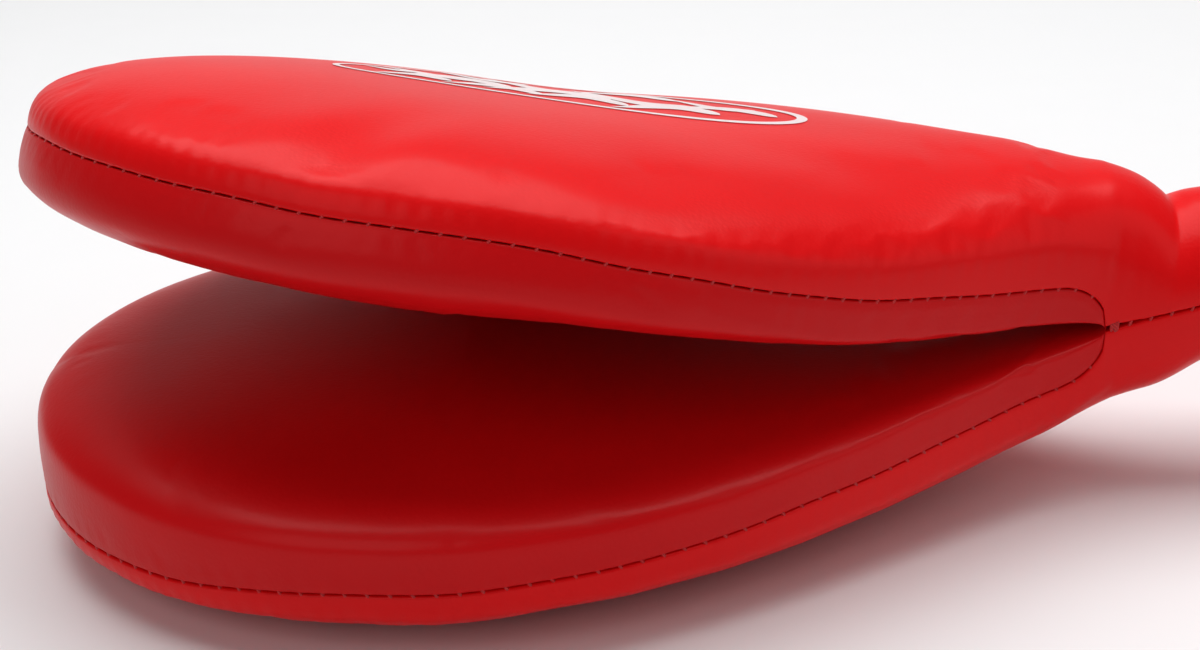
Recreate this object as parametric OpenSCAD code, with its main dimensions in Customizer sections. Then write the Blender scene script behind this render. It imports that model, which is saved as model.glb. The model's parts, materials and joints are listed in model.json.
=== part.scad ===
// Double kick paddle: two padded target leaves on one padded handle, with a wrist loop.
// Millimetres. +X points from the leaves to the butt of the handle, +Z is up, and the
// origin lies on the floor under the middle of the flat that the lower leaf rests on.

/* [Leaf outline] */
// Length of each leaf from the crotch to its tip
leaf_l = 250; // [235:1:265]
// Half of a leaf's greatest width
leaf_half_w = 93; // [86:1:98]
// Where the greatest width lies, as a fraction of the length from the crotch
wide_at = 0.59; // [0.55:0.01:0.62]
// Half of a leaf's width where it joins the handle
neck_half_w = 21.5; // [20.5:0.5:22.5]
// Roundness of the nose, where 2 is an ellipse and more is blunter
nose_n = 2.08; // [2:0.02:2.4]
// Fullness of the taper to the neck, where less is fuller
taper_n = 1.28; // [1.1:0.02:1.5]

/* [Leaf padding] */
// Crown of the strike face above the edge seam at mid length
crown_h = 21.25; // [18:0.25:23]
// Crown of the strike face above the edge seam at the neck
neck_crown_h = 25.2; // [24.5:0.1:25.6]
// Height of the edge seam above the parting plane between the leaves
seam_h = 9.7; // [8:0.1:10]
// Depth of the inner face below the parting plane at the widest place
belly_h = 12.2; // [10:0.1:12.4]
// Height of the upright part of the side wall under the edge seam
wall_h = 7; // [5:0.5:8]
// How far the side wall bulges past the edge seam
wall_bulge = 0.75; // [0:0.05:1.5]
// Thickness of the synthetic leather
skin = 1.2; // [0.8:0.1:1.4]

/* [Leaf set] */
// Height of the parting point at the crotch above the floor
crotch_z = 43.8; // [43.4:0.1:44.2]
// Rise of the upper leaf at its root, in degrees
upper_root_a = 8.3; // [8:0.1:10]
// Rise of the upper leaf at its tip, in degrees
upper_tip_a = 11.6; // [11:0.1:14]
// Rise of the lower leaf at its root, in degrees (negative falls)
lower_root_a = -9.9; // [-10.2:0.1:-9.6]
// Rise of the lower leaf at its tip, in degrees
lower_tip_a = 4.2; // [4:0.1:4.6]
// Twist of the upper leaf, in degrees, that its foam has taken: the near edge stands high
upper_twist = -11.6; // [-12:0.1:0]
// Length over which the twist grows from the neck
twist_run = 150; // [120:5:200]

/* [Handle] */
// Length of the handle from the crotch to its butt
handle_l = 136; // [125:1:140]
// Radius of the padded grip
grip_r = 19.4; // [18.5:0.1:20]
// Rise of the handle away from the leaves, in degrees
handle_a = 10.4; // [10:0.1:11]
// Distance from the crotch at which the neck has narrowed to the grip
neck_run = 34; // [30:1:38]

/* [Neck joints] */
// Furthest that the upper leaf opens, in degrees
upper_open = 30; // [20:1:32]
// Furthest that the lower leaf opens, in degrees
lower_open = 20; // [15:1:25]
// Radius of the rounded root of each leaf
root_r = 12.5; // [12.3:0.1:12.6]
// Running gap between a leaf's root and its seat in the neck
root_gap = 0.3; // [0.3:0.05:0.5]

/* [Wrist loop] */
// Width of the webbing
web_w = 20; // [15:1:25]
// Thickness of the webbing
web_t = 1.6; // [1.2:0.1:2]
// Distance from the pivot to the middle of the loop's round end
loop_drop = 46; // [42:1:46]
// Outer radius of the loop's round end
loop_r = 13; // [11:0.5:13]

/* [Hidden] */

crotch_x = 150;               // the crotch lies this far along +X from the origin
part_gap = 0.55;              // each leaf starts this far from the parting plane
s_wide = wide_at * leaf_l;
nose_l = leaf_l - s_wide;
seam_run = 0.05 * leaf_l;     // the edge seam climbs from the crotch over this length
shoulder_drop = 3.2;          // the upper leaf rounds off by this much at the crotch
shoulder_run = 25;            // over this length
low_neck_h = 13.4;            // the lower leaf's crown at the crotch
low_run = 0.28 * leaf_l;      // it deepens to the leaf's own crown over this length
crown_run = 0.51 * leaf_l;    // the neck's crown settles to the leaf's over this length
crown_n = [2.46, 2.45];       // fullness of the crown across the leaf, and at its edge
belly_n = 3.13;               // squareness of the turn from side wall to inner face
belly_grow = 1.35;            // how slowly the inner face deepens from the crotch
plate_z = [4.5, 6.4];         // the stiffener's faces above the parting plane
plate_inset = 7;              // the stiffener's edge inside the edge seam
tongue_half_w = 13;           // half width of the stiffener's tail and of the tongues
foam_gap = 0.5;               // clearance of the foams inside the covers
root_z = part_gap + root_r + 0.1;   // height of a leaf's root centre above the parting plane
cover_gap = 1;                // further gap between the covers' edges across a neck joint
foam_s = 17;                  // the leaf foams start this far from the crotch

rear_n = 9;                   // steps from the crotch to the widest place
nose_steps = 8;               // steps round half of the nose
rows = rear_n + nose_steps + 1;
stitch_r = 0.5;               // radius of the edge thread
stitch_steps = 24;            // steps of the edge thread round half of the nose

red = [0.85, 0.06, 0.08];
dark_red = [0.55, 0.03, 0.05];
foam_grey = [0.30, 0.30, 0.32];
foam_white = [0.86, 0.86, 0.84];

// ---- helpers ----

function clamp01(u) = min(max(u, 0), 1);
function rise(u) = let (k = 1 - clamp01(u)) sqrt(max(0, 1 - k * k));
function smooth(u) = let (k = clamp01(u)) k * k * (3 - 2 * k);
function mix(a, b, k) = a + (b - a) * k;

// ---- leaf shape: s runs from the crotch to the tip, y across, z outwards ----

function half_w(s) = neck_half_w
    + (leaf_half_w - neck_half_w) * pow(cos(90 * (1 - clamp01(s / s_wide))), taper_n);
function nose_radius(a) = 1 / pow(pow(abs(cos(a)) / nose_l, nose_n)
    + pow(abs(sin(a)) / leaf_half_w, nose_n), 1 / nose_n);
function seam_z(s) = part_gap + seam_h * rise(s / seam_run);
// Height of the strike face over the parting plane, and of its crown over the seam.
// The lower leaf is flatter towards the neck than the upper one.
function strike_h(s, up) = part_gap + seam_h + (up
    ? mix(neck_crown_h, crown_h, rise(s / crown_run)) - shoulder_drop * (1 - smooth(s / shoulder_run))
    : mix(low_neck_h, crown_h, sin(90 * clamp01(s / low_run))));
function crown(s, up) = strike_h(s, up) - seam_z(s);
function belly(s) = belly_h * pow(clamp01(s / s_wide), belly_grow);

// Each section gives [distance out from the middle, z] at s, for an outline w wide and
// a share k from the middle (0) to the edge (1), set in by t.
function crown_section(s, w, k, t, up) =
    [(w - t) * k, seam_z(s) + (crown(s, up) - t) * pow(max(0, 1 - pow(k, crown_n[0])), 1 / crown_n[1])];
function belly_section(s, w, k, t) = let (
        turn = 0.72,
        e = max(0.02, rise(s / seam_run)),
        wall = wall_h * e,
        depth = belly(s) + seam_z(s) - part_gap - t,
        a = 90 * (1 - k / turn),
        u = (k - turn) / (1 - turn)
    ) k < turn
        ? [(w + wall_bulge * e - t) * pow(cos(a), 2 / belly_n),
           seam_z(s) - wall - (depth - wall) * pow(sin(a), 2 / belly_n)]
        : [w - t + wall_bulge * e * cos(90 * u), seam_z(s) - wall * (1 - u)];
function plate_section(s, w, k, z) =
    [k * mix(tongue_half_w, w - plate_inset, smooth((s - foam_s) / 24)), z];
function level_section(s, w, k, t, z) = [(w - t) * k, z];

// ---- leaf placing ----

function root_a(up) = up ? upper_root_a : lower_root_a;
function tip_a(up) = up ? upper_tip_a : lower_tip_a;
function spine(s, up) = let (
        a0 = root_a(up),
        bend = (tip_a(up) - a0) / leaf_l,
        in = min(max(s, 0), leaf_l),
        a = a0 + bend * in,
        k = bend * PI / 180
    ) [-(sin(a) - sin(a0)) / k - (s - in) * cos(a), -(cos(a) - cos(a0)) / k + (s - in) * sin(a), a];
function leaf_to_world(p, up, low) = let (
        z0 = up ? p[2] : -p[2],
        r = up ? upper_twist * smooth(p[0] / twist_run) : 0,
        y = p[1] * cos(r) - z0 * sin(r),
        z = z0 * cos(r) + p[1] * sin(r),
        c = spine(p[0], up)
    ) [crotch_x + c[0] + z * sin(c[2]), y, max(low, crotch_z + c[1] + z * cos(c[2]))];

// The rounded root: how far behind the crotch a point at height z lies
function root_back(z) = sqrt(max(0, root_r * root_r - pow(z - root_z, 2)));

// Rows of a leaf sheet run from the crotch to the widest place and then round the nose.
// Columns run from one edge over the middle to the other edge.
function sheet_row(i, n, from, f, back) = [for (j = [-n : n]) let (
        k = abs(j) / n,
        side = j < 0 ? -1 : 1,
        a = 90 * (1 - (i - rear_n) / nose_steps),
        s = from + (s_wide - from) * pow(i / rear_n, 1.15),
        p = i <= rear_n ? f(s, half_w(s), k) : f(s_wide, nose_radius(a), k),
        tail = back && i <= rear_n ? root_back(p[1]) * (1 - smooth(s / 20)) : 0
    ) i <= rear_n ? [s - tail, side * p[0], p[1]]
                  : [s_wide + p[0] * cos(a), side * p[0] * sin(a), p[1]]];
function sheet(n, from, f, back) = [for (i = [0 : rows - 1]) each sheet_row(i, n, from, f, back)];

// A leaf sheet's front rows share their middle point, and its last row folds onto itself.
function leaf_id(i, j, cols) = let (mid = (cols - 1) / 2)
    i > rear_n && j == mid ? rear_n * cols + mid
    : i == rows - 1 && j > mid ? i * cols + 2 * mid - j : i * cols + j;
function grid_id(i, j, cols) = i * cols + j;

function quad(a, b, c, d) = [for (t = [[a, b, c], [a, c, d]])
    if (t[0] != t[1] && t[1] != t[2] && t[0] != t[2]) t];
function turned(faces, flip) = flip ? [for (t = faces) [t[2], t[1], t[0]]] : faces;

// Faces of a solid between two sheets of n_rows by cols points, the outer one first
function solid_faces(n_rows, cols, id, far_end) = let (
        o = n_rows * cols,
        top = [for (i = [0 : n_rows - 2], j = [0 : cols - 2])
            each quad(id(i, j, cols), id(i + 1, j, cols), id(i + 1, j + 1, cols), id(i, j + 1, cols))],
        sides = [for (i = [0 : n_rows - 2]) each concat(
            quad(id(i, 0, cols), o + id(i, 0, cols), o + id(i + 1, 0, cols), id(i + 1, 0, cols)),
            quad(id(i + 1, cols - 1, cols), o + id(i + 1, cols - 1, cols),
                 o + id(i, cols - 1, cols), id(i, cols - 1, cols)))],
        ends = [for (j = [0 : cols - 2]) each concat(
            quad(id(0, j + 1, cols), o + id(0, j + 1, cols), o + id(0, j, cols), id(0, j, cols)),
            far_end ? quad(id(n_rows - 1, j, cols), o + id(n_rows - 1, j, cols),
                           o + id(n_rows - 1, j + 1, cols), id(n_rows - 1, j + 1, cols)) : [])]
    ) concat(top, [for (t = top) [o + t[2], o + t[1], o + t[0]]], sides, ends);

module leaf_solid(up, outer, inner, n, from = 0, back = false, low = [0, 0], flip = false) {
    a = [for (p = sheet(n, from, outer, back)) leaf_to_world(p, up, low[0])];
    b = [for (p = sheet(n, from, inner, back)) leaf_to_world(p, up, low[1])];
    polyhedron(concat(a, b),
        turned(solid_faces(rows, 2 * n + 1, function (i, j, c) leaf_id(i, j, c), false), up == flip),
        convexity = 6);
}

// ---- leaf pieces ----

module strike_cover(up) {
    leaf_solid(up, function (s, w, k) crown_section(s, w, k, 0, up),
        function (s, w, k) crown_section(s, w, k, skin, up), 8, 0, true, [0, skin]);
}

module inner_cover(up) {
    leaf_solid(up, function (s, w, k) belly_section(s, w, k, 0) - [0, 0.1],
        function (s, w, k) belly_section(s, w, k, skin) - [0, 0.1], 10, flip = true);
}

module strike_foam(up) {
    t = skin + foam_gap;
    leaf_solid(up, function (s, w, k) crown_section(s, w, k, t, up),
        function (s, w, k) level_section(s, w, k, t, plate_z[1] + foam_gap), 8, foam_s,
        low = [t, t]);
}

module inner_foam(up) {
    t = skin + foam_gap;
    leaf_solid(up, function (s, w, k) belly_section(s, w, k * 0.72, t),
        function (s, w, k) level_section(s, w, pow(sin(90 * k), 2 / belly_n), t - wall_bulge,
            plate_z[0] - foam_gap), 7, foam_s, flip = true);
}

module stiffener(up) {
    leaf_solid(up, function (s, w, k) plate_section(s, w, k, plate_z[1]),
        function (s, w, k) plate_section(s, w, k, plate_z[0]), 6, -9);
}

// The foam block in the root of a leaf, with the slot that the stiffener's tail lies in
root_levels = 7;
function root_ring(i, up) = [for (k = [0 : root_levels]) let (
        h = crown(0, up) - skin - 1.2,
        z = mix(root_z + 1.8 - root_r, 1.5 + 0.98 * h, 0.5 - 0.5 * cos(180 * k / root_levels)),
        s = mix(0, foam_s - foam_gap, max(0, i - 1) / 2),
        w = (neck_half_w - skin - 0.4) * pow(max(0, 1 - pow(max(0, z - 1.5) / h, 2.4)), 0.42)
    ) [i == 0 ? -root_back(z) * 0.98 : s, w - 0.5, z]];
module root_foam(up) {
    n = root_levels + 1;
    half = [for (i = [0 : 3]) root_ring(i, up)];
    a = [for (r = half) each [for (p = r) leaf_to_world(p, up, 0)]];
    b = [for (r = half) each [for (p = r) leaf_to_world([p[0], -p[1], p[2]], up, 0)]];
    difference() {
        polyhedron(concat(a, b),
            turned(solid_faces(4, n, function (i, j, c) grid_id(i, j, c), true), up), convexity = 4);
        at_root(up) translate([-30, -tongue_half_w - 0.3, plate_z[0] - 0.2])
            cube([60, 2 * tongue_half_w + 0.6, plate_z[1] - plate_z[0] + 0.4]);
    }
}

// Puts leaf-local shapes at the root: there +X points back to the handle and +Z outwards
module at_root(up) {
    translate([crotch_x, 0, crotch_z]) rotate([0, root_a(up), 0]) mirror([0, 0, up ? 0 : 1]) children();
}

// A thread laid along a list of points, with flat ends
function ring_at(p, d, r, n) = let (
        x = d / norm(d),
        u = cross(x, [0, 0, 1]) / norm(cross(x, [0, 0, 1])),
        v = cross(x, u)
    ) [for (i = [0 : n - 1]) p + r * (cos(360 * i / n) * u + sin(360 * i / n) * v)];
module thread(path, r, n = 6) {
    last = len(path) - 1;
    points = [for (i = [0 : last])
        each ring_at(path[i], path[min(i + 1, last)] - path[max(i - 1, 0)], r, n)];
    walls = [for (i = [0 : last - 1], j = [0 : n - 1]) each
        quad(i * n + j, (i + 1) * n + j, (i + 1) * n + (j + 1) % n, i * n + (j + 1) % n)];
    polyhedron(points, concat(walls, [[for (j = [0 : n - 1]) j]],
        [[for (j = [n - 1 : -1 : 0]) last * n + j]]), convexity = 8);
}

module edge_thread(up) {
    out = stitch_r + 0.6;
    edge = [for (i = [0 : rear_n]) let (s = s_wide * pow(i / rear_n, 1.15))
        [s - root_back(seam_z(s)) * (1 - smooth(s / 20)), half_w(s) + out, seam_z(s)]];
    flank = [for (i = [0 : rear_n]) i == 0 ? mix(edge[0], edge[1], 0.15) : edge[i]];
    nose = [for (i = [1 : 2 * stitch_steps - 1]) let (a = 90 * (1 - i / stitch_steps))
        [s_wide + (nose_radius(a) + out) * cos(a), (nose_radius(a) + out) * sin(a), seam_z(s_wide)]];
    route = concat(flank, nose, [for (i = [rear_n : -1 : 0]) [flank[i][0], -flank[i][1], flank[i][2]]]);
    thread([for (p = route) leaf_to_world(p, up, 0)], stitch_r, 5);
}

// A plain oval ring printed on the strike face
print_c = 125;     // its middle, from the crotch
print_l = 57;      // half its length
print_w = 27;      // half its width
print_band = 2.4;  // width of the line
print_t = 0.15;    // thickness of the ink film
function face_at(s, y, lift) = let (
        front = s > s_wide,
        k = front ? pow(pow((s - s_wide) / nose_l, nose_n) + pow(abs(y) / leaf_half_w, nose_n), 1 / nose_n)
                  : abs(y) / half_w(s),
        p = crown_section(min(s, s_wide), 1, k, 0, true)
    ) [s, y, p[1] + lift];
module face_print() {
    n = 60;
    grid = function (lift) [for (i = [0 : n - 1], d = [0, print_band])
        let (a = 360 * i / n)
        leaf_to_world(face_at(print_c + (print_l - d) * cos(a), (print_w - d) * sin(a), lift), true, 0)];
    faces = [for (i = [0 : n - 1]) let (a = 2 * i, b = 2 * ((i + 1) % n), o = 2 * n) each concat(
        quad(a, b, b + 1, a + 1), quad(o + a, o + a + 1, o + b + 1, o + b),
        quad(a, o + a, o + b, b), quad(b + 1, o + b + 1, o + a + 1, a + 1))];
    polyhedron(concat(grid(0.35 + print_t), grid(0.35)), faces, convexity = 4);
}

// ---- handle ----

handle_dir = [cos(handle_a), 0, sin(handle_a)];
handle_up = [-sin(handle_a), 0, cos(handle_a)];
handle_steps = 11;
handle_sides = 16;
// Half height and half width of the handle's section, u along the handle
function neck_blend(u) = smooth((u - 1.5) / (0.8 * neck_run));
function hand_half_h(u, up) = mix(crown(0, up), grip_r, neck_blend(u));
function hand_half_w(u) = mix(neck_half_w, grip_r, neck_blend(u));
function hand_n(u) = mix(2.4, 2, neck_blend(u));

// A leaf's root centre in the X-Z plane, from the crotch
function root_centre(up) = let (z = up ? root_z : -root_z) [z * sin(root_a(up)), z * cos(root_a(up))];
// How far back the neck starts at the height z on one side, to clear a leaf that opens
function neck_front(z, up) = let (
        c = root_centre(up),
        r = root_r + root_gap + cover_gap,
        h = abs(z) - abs(c[1]),
        open = (up ? upper_open : lower_open) + 3,
        edge = r * cos(open)
    ) h < edge ? c[0] + sqrt(max(0, r * r - h * h)) : c[0] + (h + 0.6) * tan(open);
// Points around one half of the handle at step i, on the outer or the inner face
function hand_row(i, up, t) = [for (j = [0 : handle_sides]) let (
        a = 180 * j / handle_sides,
        lead = max([4.5, for (v = [0, 7, 14]) let (
            z0 = (hand_half_h(v, up) - t) * pow(abs(sin(a)), 2 / hand_n(v)),
            climb = (up ? 1 : -1) * neck_front(max(z0, 1), up) * tan(handle_a)
        ) neck_front(max(z0 + climb, 0.5), up)]) / cos(handle_a) + 0.2,
        u = mix(lead, handle_l - skin - 0.1, pow(i / handle_steps, 1.4)),
        side = cos(a) < 0 ? -1 : 1,
        y = side * (hand_half_w(u) - t) * pow(abs(cos(a)), 2 / hand_n(u)),
        z = 0.1 + (hand_half_h(u, up) - t) * pow(abs(sin(a)), 2 / hand_n(u)),
        lean = smooth((u - lead) / 14)
    ) [crotch_x, 0, crotch_z] + u * handle_dir + [0, y, 0]
      + (up ? z : -z) * [handle_up[0] * lean, 0, mix(1, handle_up[2], lean)]];

module grip_cover(up) {
    a = [for (i = [0 : handle_steps]) each hand_row(i, up, 0)];
    b = [for (i = [0 : handle_steps]) each hand_row(i, up, skin)];
    polyhedron(concat(a, b), turned(solid_faces(handle_steps + 1, handle_sides + 1,
        function (i, j, c) grid_id(i, j, c), true), !up), convexity = 6);
}

// Puts shapes on the handle: +X along it from the crotch, +Z across it
module on_handle() {
    translate([crotch_x, 0, crotch_z]) rotate([0, -handle_a, 0]) children();
}

core_half = [11, 6];      // half width and half height of the core bar
core_from = 27;
tongue_t = 1.9;
tongue_from = 17;
tongue_to = 72;
rivet_at = [42, 60];
rivet_r = 2;
rivet_head = [3.6, 1.1];  // radius and height

module handle_core() {
    on_handle() difference() {
        translate([core_from, -core_half[0], -core_half[1]])
            cube([handle_l - 12 - core_from, 2 * core_half[0], 2 * core_half[1]]);
        for (u = rivet_at) translate([u, 0, -20]) cylinder(r = rivet_r, h = 40, $fn = 32);
    }
}

module tongue(up) {
    on_handle() mirror([0, 0, up ? 0 : 1]) difference() {
        translate([tongue_from, -core_half[0], core_half[1]])
            cube([tongue_to - tongue_from, 2 * core_half[0], tongue_t]);
        for (u = rivet_at) translate([u, 0, 0]) cylinder(r = rivet_r, h = 40, $fn = 32);
    }
}

module core_rivets() {
    z = core_half[1] + tongue_t;
    on_handle() for (u = rivet_at) translate([u, 0, 0]) {
        translate([0, 0, -z]) cylinder(r = rivet_r, h = 2 * z, $fn = 32);
        for (m = [0, 1]) mirror([0, 0, m]) translate([0, 0, z])
            cylinder(r = rivet_head[0], h = rivet_head[1], $fn = 32);
    }
}

// Room for a leaf's root and for its swing when it opens
module root_seat(up) {
    c = root_centre(up);
    open = up ? upper_open : lower_open;
    r = root_r + root_gap;
    translate([crotch_x + c[0], 0, crotch_z + c[1]]) {
        rotate([90, 0, 0]) cylinder(r = r, h = 80, center = true, $fn = 64);
        mirror([0, 0, up ? 0 : 1]) rotate([90, 0, 0]) linear_extrude(80, center = true)
            polygon([[0, 0], [40 * sin(open + 3), 40 * cos(open + 3)], [-40, 40], [-40, -root_r], [0, -root_r]]);
    }
}

neck_from = 5.5;   // the neck's padding starts this far behind the crotch
module neck_foam() {
    difference() {
        on_handle() translate([neck_from, 0, 0]) rotate([0, 90, 0])
            cylinder(r = 17.8, h = neck_run - neck_from, $fn = 64);
        root_seat(true);
        root_seat(false);
        on_handle() translate([tongue_from - 0.2, -core_half[0] - 0.2, -core_half[1] - tongue_t - 0.2])
            cube([60, 2 * core_half[0] + 0.4, 2 * (core_half[1] + tongue_t + 0.2)]);
    }
}

module grip_foam() {
    on_handle() difference() {
        translate([neck_run + 0.1, 0, 0]) rotate([0, 90, 0])
            cylinder(r = grip_r - skin - foam_gap, h = handle_l - skin - 0.2 - neck_run, $fn = 64);
        translate([0, -core_half[0] - 0.2, -core_half[1] - tongue_t - 1.4])
            cube([handle_l - 11.8, 2 * core_half[0] + 0.4, 2 * (core_half[1] + tongue_t + 1.4)]);
        translate([handle_l - 12, 0, 0]) rotate([0, 90, 0]) cylinder(r = 10.1, h = 20, $fn = 48);
    }
}

module side_thread(side) {
    n = 26;
    thread([for (i = [0 : n]) let (u = mix(7.5, handle_l - 2, i / n))
        [crotch_x, side * (hand_half_w(u) + 0.55), crotch_z] + u * handle_dir], 0.45, 5);
}

module crotch_tacks() {
    for (side = [-1, 1]) translate([crotch_x + 3.4, side * (neck_half_w + 0.4), crotch_z + 0.8])
        sphere(r = 1.5, $fn = 24);
}

module butt_plug() {
    on_handle() translate([handle_l - 11.6, 0, 0]) rotate([0, 90, 0]) difference() {
        cylinder(r = 10, h = 10.2, $fn = 48);
        translate([-web_t - 0.2, -web_w / 2 + 1.8, 4]) cube([2 * web_t + 0.4, web_w - 3.6, 20]);
    }
}

tab_out = 8.5;    // how far the webbing tab stands out of the butt
pivot_gap = 1.6;
module butt_disc() {
    on_handle() translate([handle_l - skin, 0, 0]) difference() {
        rotate([0, 90, 0]) cylinder(r = grip_r - 0.1, h = skin, $fn = 64);
        translate([-5, -web_w / 2 + 1.7, -web_t - 0.1]) cube([20, web_w - 3.4, 2 * web_t + 0.2]);
    }
}

module butt_thread() {
    on_handle() translate([handle_l + 0.35, 0, 0]) rotate([0, 90, 0])
        rotate_extrude($fn = 64) translate([grip_r - 2.4, 0]) circle(r = 0.35, $fn = 16);
}

module loop_tab() {
    on_handle() translate([handle_l - 7, -web_w / 2 + 1.9, -web_t])
        cube([7 + tab_out, web_w - 3.8, 2 * web_t]);
}

// ---- wrist loop, hanging from its pivot at the end of the tab ----

pivot = [crotch_x, 0, crotch_z] + (handle_l + tab_out + web_t + pivot_gap) * handle_dir;
loop_a = asin((loop_r - web_t) / loop_drop);
module loop_shape(r) {
    steps = 20;
    round_end = [for (i = [0 : steps]) let (a = mix(180 - loop_a, 360 + loop_a, i / steps))
        [r * cos(a), -loop_drop + r * sin(a)]];
    shoulder = r - loop_r + web_t;
    polygon(concat(shoulder > 0 ? [[shoulder * 0.8, 0.5], [-shoulder * 0.8, 0.5]] : [[0, -8]], round_end));
}
module wrist_loop() {
    translate(pivot) rotate([90, 0, 0]) linear_extrude(web_w - 3.8, center = true) {
        difference() {
            union() {
                loop_shape(loop_r);
                circle(r = web_t, $fn = 32);
            }
            loop_shape(loop_r - web_t);
        }
    }
}

module loop_tack() {
    for (k = [0 : 3], m = [-1, 1])
        translate(pivot + [m * (web_t + 0.3 + (3.6 + 1.6 * k) * tan(loop_a)), 0, -3.6 - 1.6 * k])
            rotate([90, 0, 0]) cylinder(r = 0.3, h = web_w - 8, center = true, $fn = 16);
}

// ---- nodes ----

module upper_strike_cover() { color(red) strike_cover(true); }
module upper_inner_cover() { color(dark_red) inner_cover(true); }
module upper_strike_foam() { color(foam_grey) strike_foam(true); }
module upper_inner_foam() { color(foam_white) inner_foam(true); }
module upper_stiffener() { color([0.15, 0.15, 0.17]) stiffener(true); }
module upper_root_foam() { color(foam_grey) root_foam(true); }
module upper_edge_thread() { color("firebrick") edge_thread(true); }
module upper_face_print() { color("white") face_print(); }
module lower_strike_cover() { color(red) strike_cover(false); }
module lower_inner_cover() { color(dark_red) inner_cover(false); }
module lower_strike_foam() { color(foam_grey) strike_foam(false); }
module lower_inner_foam() { color(foam_white) inner_foam(false); }
module lower_stiffener() { color([0.15, 0.15, 0.17]) stiffener(false); }
module lower_root_foam() { color(foam_grey) root_foam(false); }
module lower_edge_thread() { color("firebrick") edge_thread(false); }
module upper_tongue() { color([0.15, 0.15, 0.17]) tongue(true); }
module lower_tongue() { color([0.15, 0.15, 0.17]) tongue(false); }
module grip_cover_upper() { color(red) grip_cover(true); }
module grip_cover_lower() { color(red) grip_cover(false); }
module grip_thread_near() { color("firebrick") side_thread(-1); }
module grip_thread_far() { color("firebrick") side_thread(1); }

upper_strike_cover();
upper_inner_cover();
upper_strike_foam();
upper_inner_foam();
upper_stiffener();
upper_root_foam();
upper_edge_thread();
upper_face_print();
lower_strike_cover();
lower_inner_cover();
lower_strike_foam();
lower_inner_foam();
lower_stiffener();
lower_root_foam();
lower_edge_thread();
color([0.15, 0.15, 0.17]) handle_core();
upper_tongue();
lower_tongue();
color("silver") core_rivets();
color(foam_grey) neck_foam();
color(foam_grey) grip_foam();
grip_cover_upper();
grip_cover_lower();
grip_thread_near();
grip_thread_far();
color("firebrick") crotch_tacks();
color([0.15, 0.15, 0.17]) butt_plug();
color(red) butt_disc();
color("firebrick") butt_thread();
color([0.1, 0.1, 0.1]) loop_tab();
color([0.1, 0.1, 0.1]) wrist_loop();
color("firebrick") loop_tack();
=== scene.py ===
"""Looks of the double kick paddle: sewn skins, seams, print, webbing, materials and stage."""

import json
import math

import bmesh
import bpy
import numpy as np
from bpy.props import FloatProperty, FloatVectorProperty, PointerProperty
from mathutils import Matrix, Vector
from mathutils.bvhtree import BVHTree

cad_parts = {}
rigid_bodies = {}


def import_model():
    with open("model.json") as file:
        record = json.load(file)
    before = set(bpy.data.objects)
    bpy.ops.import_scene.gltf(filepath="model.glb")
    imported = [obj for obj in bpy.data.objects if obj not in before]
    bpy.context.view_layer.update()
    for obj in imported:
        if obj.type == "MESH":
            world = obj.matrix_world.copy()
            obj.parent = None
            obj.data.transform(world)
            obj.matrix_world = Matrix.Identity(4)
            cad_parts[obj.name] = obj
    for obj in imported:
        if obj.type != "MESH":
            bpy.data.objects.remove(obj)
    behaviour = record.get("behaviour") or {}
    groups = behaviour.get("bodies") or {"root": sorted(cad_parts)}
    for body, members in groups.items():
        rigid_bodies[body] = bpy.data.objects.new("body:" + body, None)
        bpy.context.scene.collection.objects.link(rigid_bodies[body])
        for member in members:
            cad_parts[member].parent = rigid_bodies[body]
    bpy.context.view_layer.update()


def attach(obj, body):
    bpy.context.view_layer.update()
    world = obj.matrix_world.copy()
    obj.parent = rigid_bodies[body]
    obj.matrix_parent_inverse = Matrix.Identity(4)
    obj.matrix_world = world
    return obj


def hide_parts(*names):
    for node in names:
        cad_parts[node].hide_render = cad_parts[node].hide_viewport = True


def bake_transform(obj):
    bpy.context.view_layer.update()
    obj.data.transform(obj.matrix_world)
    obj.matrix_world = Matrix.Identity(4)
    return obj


bl_info = {
    "name": "Double kick paddle",
    "version": (1, 0, 0),
    "blender": (4, 5, 0),
    "location": "3D View > Sidebar > Kick paddle",
    "description": "Sews the skins of a double kick paddle over its frame and stages it",
    "category": "Add Mesh",
}

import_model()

MM = 0.001


# ---- settings ----

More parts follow.
